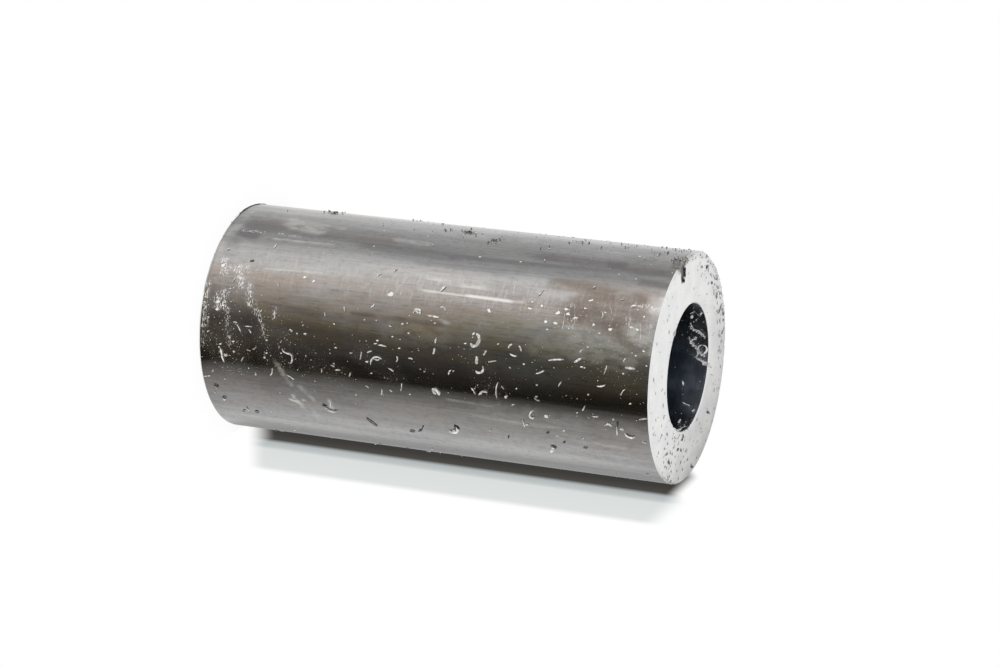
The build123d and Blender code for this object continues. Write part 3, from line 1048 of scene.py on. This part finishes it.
def add_backdrop():
    """The white sheet that the lying sleeve touches, with a painted shadow as of a soft lamp straight
    above:
    dark under the sleeve, pale as far as its shade reaches."""
    g = surface("backdrop")
    up, across = direction(0), direction(90)
    at = g.millimetres()
    aside = g.along(at, across)
    out = g.math("ABSOLUTE", aside)
    height = g.height(at)
    reach = 1.6 * OUTER
    # The painted shadow's tones by distance from the line of contact, in mm.
    painted_shadow_tones = [(0.0, (0.037, 0.034, 0.031)), (5.0, (0.052, 0.049, 0.045)), (7.5, (0.074, 0.070, 0.065)),
             (8.9, (0.45, 0.49, 0.49)), (10.7, (0.53, 0.56, 0.56)), (12.0, (0.70, 0.73, 0.72)),
             (19.6, (0.73, 0.755, 0.745)), (21.6, 1.0)]
    tone = g.ramp(g.math("DIVIDE", out, reach), [(edge / reach, colour) for edge, colour in painted_shadow_tones])

    def by_depth(dark, pale):
        """One measure for the dark part of the shadow, changing to another for its pale part."""
        return g.step(out, 6.5, 11.0, dark, pale)

    # The painted shadow fades in towards the foot and out past the upper end.
    start = g.step(g.math("MULTIPLY_ADD", out, -0.5, height), -1.2, by_depth(4.2, 2.4))
    end = g.math("SUBTRACT", height, g.step(aside, -12.0, 0.0, -7.5, 0.0))
    end = g.step(end, by_depth(LENGTH - 1.0, LENGTH - 0.6), by_depth(LENGTH + 2.0, LENGTH + 3.8), 1.0, 0.0)
    # White, with the painted shadow laid over it.
    white = g.mix(g.times(start, end), 1.0, tone)
    # Its edges, sideways in radii of the sleeve and upwards in mm.
    near, far, bottom, top = -2.2, 3.4, -0.2, 115.0
    corners = [(near, bottom), (far, bottom), (far, top), (near, top)]
    points = [-up * OUTER + across * s * OUTER + (0, 0, z) for s, z in corners]
    add_sheet("backdrop", g, white, points, [[0, 1, 2, 3]])


def add_blinds():
    """Blinds over the backdrop, white from their upper side and clear from their under side: the photograph
    looks in under them, and from steeper round the standing sleeve they hide the shadow."""
    up, across = direction(0), direction(90)
    pitch, slope = 0.5, radians(30)
    points, faces = [], []
    for t in np.arange(-26.0, 26.0, pitch):
        bottom = 0.1 if abs(t) > 7.0 else LENGTH - 3 if abs(t) > 2.0 else LENGTH + 0.05
        low_edge = -up * (OUTER - 0.02) + across * t
        high_edge = low_edge + (up * sin(slope) + across * cos(slope)) * 3 * pitch
        faces.append([len(points) + k for k in range(4)])
        points += [low_edge + (0, 0, bottom), high_edge + (0, 0, bottom),
                   high_edge + (0, 0, LENGTH + 6), low_edge + (0, 0, LENGTH + 6)]
    add_sheet("blinds", surface("blinds"), 1.0, points, faces)


def add_surround():
    """Cards round the sleeve, seen only in its reflections."""
    g = surface("cards")
    at = g.millimetres()
    split = g.node("SeparateXYZ", {0: at})
    way = g.math("ARCTAN2", split.outputs["Y"], split.outputs["X"])
    # What a low point mirrors lies on the floor, nearer than the cards behind it. There the cards are laid
    # out wider, so that each line up the sleeve mirrors one card down to the foot.
    wide = g.math("SUBTRACT", 2.0, g.math("DIVIDE", OUTER, g.radius(at)))
    wide = g.math("SUBTRACT", g.math("DIVIDE", 2 - OUTER / SURROUND_RADIUS, wide), 1.0)
    aside = g.math("SINE", g.math("SUBTRACT", way, radians(TOP + CAMERA_TURN)))
    way = g.math("ADD", way, g.times(wide, aside))
    turn = g.math("ADD", g.times(way, 180 / pi), -TOP + 180)
    share = g.math("DIVIDE", g.math("FLOORED_MODULO", turn, 360.0), 360.0)
    stops = [((turn_at + 180) / 360, float(value)) for turn_at, value in SURROUND] + [(1.0, SURROUND[0][1])]
    light = g.finish(g.lit(g.ramp(share, stops)))
    around = 96
    rings = [(OUTER + 0.15, 0.05), (SURROUND_RADIUS, 0.05), (SURROUND_RADIUS, SURROUND_HEIGHT)]
    angles = [2 * pi * k / around for k in range(around)]
    points = [(r * cos(angle), r * sin(angle), z) for r, z in rings for angle in angles]
    faces = [[j + k, j + (k + 1) % around, j + around + (k + 1) % around, j + around + k]
             for j in (0, around) for k in range(around)]
    hidden = ["camera", "diffuse", "transmission", "shadow", "volume_scatter"]
    add_stage("cards", points, faces, light, hidden)


def add_world():
    world = bpy.data.worlds.new("studio")
    g = Graph(world)
    g.finish(g.node("Background", {"Color": 1.0, "Strength": 1.0}).outputs[0])
    world.cycles.sampling_method = "NONE"
    bpy.context.scene.world = world


def add_camera():
    away, rise = radians(CAMERA_AZIMUTH), radians(CAMERA_ELEVATION)
    back = Vector((sin(away) * cos(rise), -cos(away) * cos(rise), sin(rise)))
    level = Vector((0, 0, 1)).cross(back).normalized()
    upright = Matrix((level, back.cross(level), back)).transposed()
    turned = upright @ Matrix.Rotation(radians(CAMERA_ROLL), 3, "Z")
    data = bpy.data.cameras.new("camera")
    data.lens = CAMERA_LENS
    data.sensor_width = 36.0
    data.clip_start, data.clip_end = 0.01, 20.0
    camera = bpy.data.objects.new("camera", data)
    bpy.context.scene.collection.objects.link(camera)
    middle = Vector((0, 0, LENGTH / 2 * MM))
    place = middle + turned @ Vector((AIM_RIGHT, AIM_UP, CAMERA_DISTANCE))
    camera.matrix_world = Matrix.Translation(place) @ turned.to_4x4()
    bpy.context.scene.camera = camera


skin = skin_mesh()
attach(skin, "root")
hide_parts("sleeve")
add_swarf()
add_floor()
add_backdrop()
add_blinds()
add_surround()
add_world()
add_camera()
bpy.context.scene.view_settings.view_transform = "Standard"
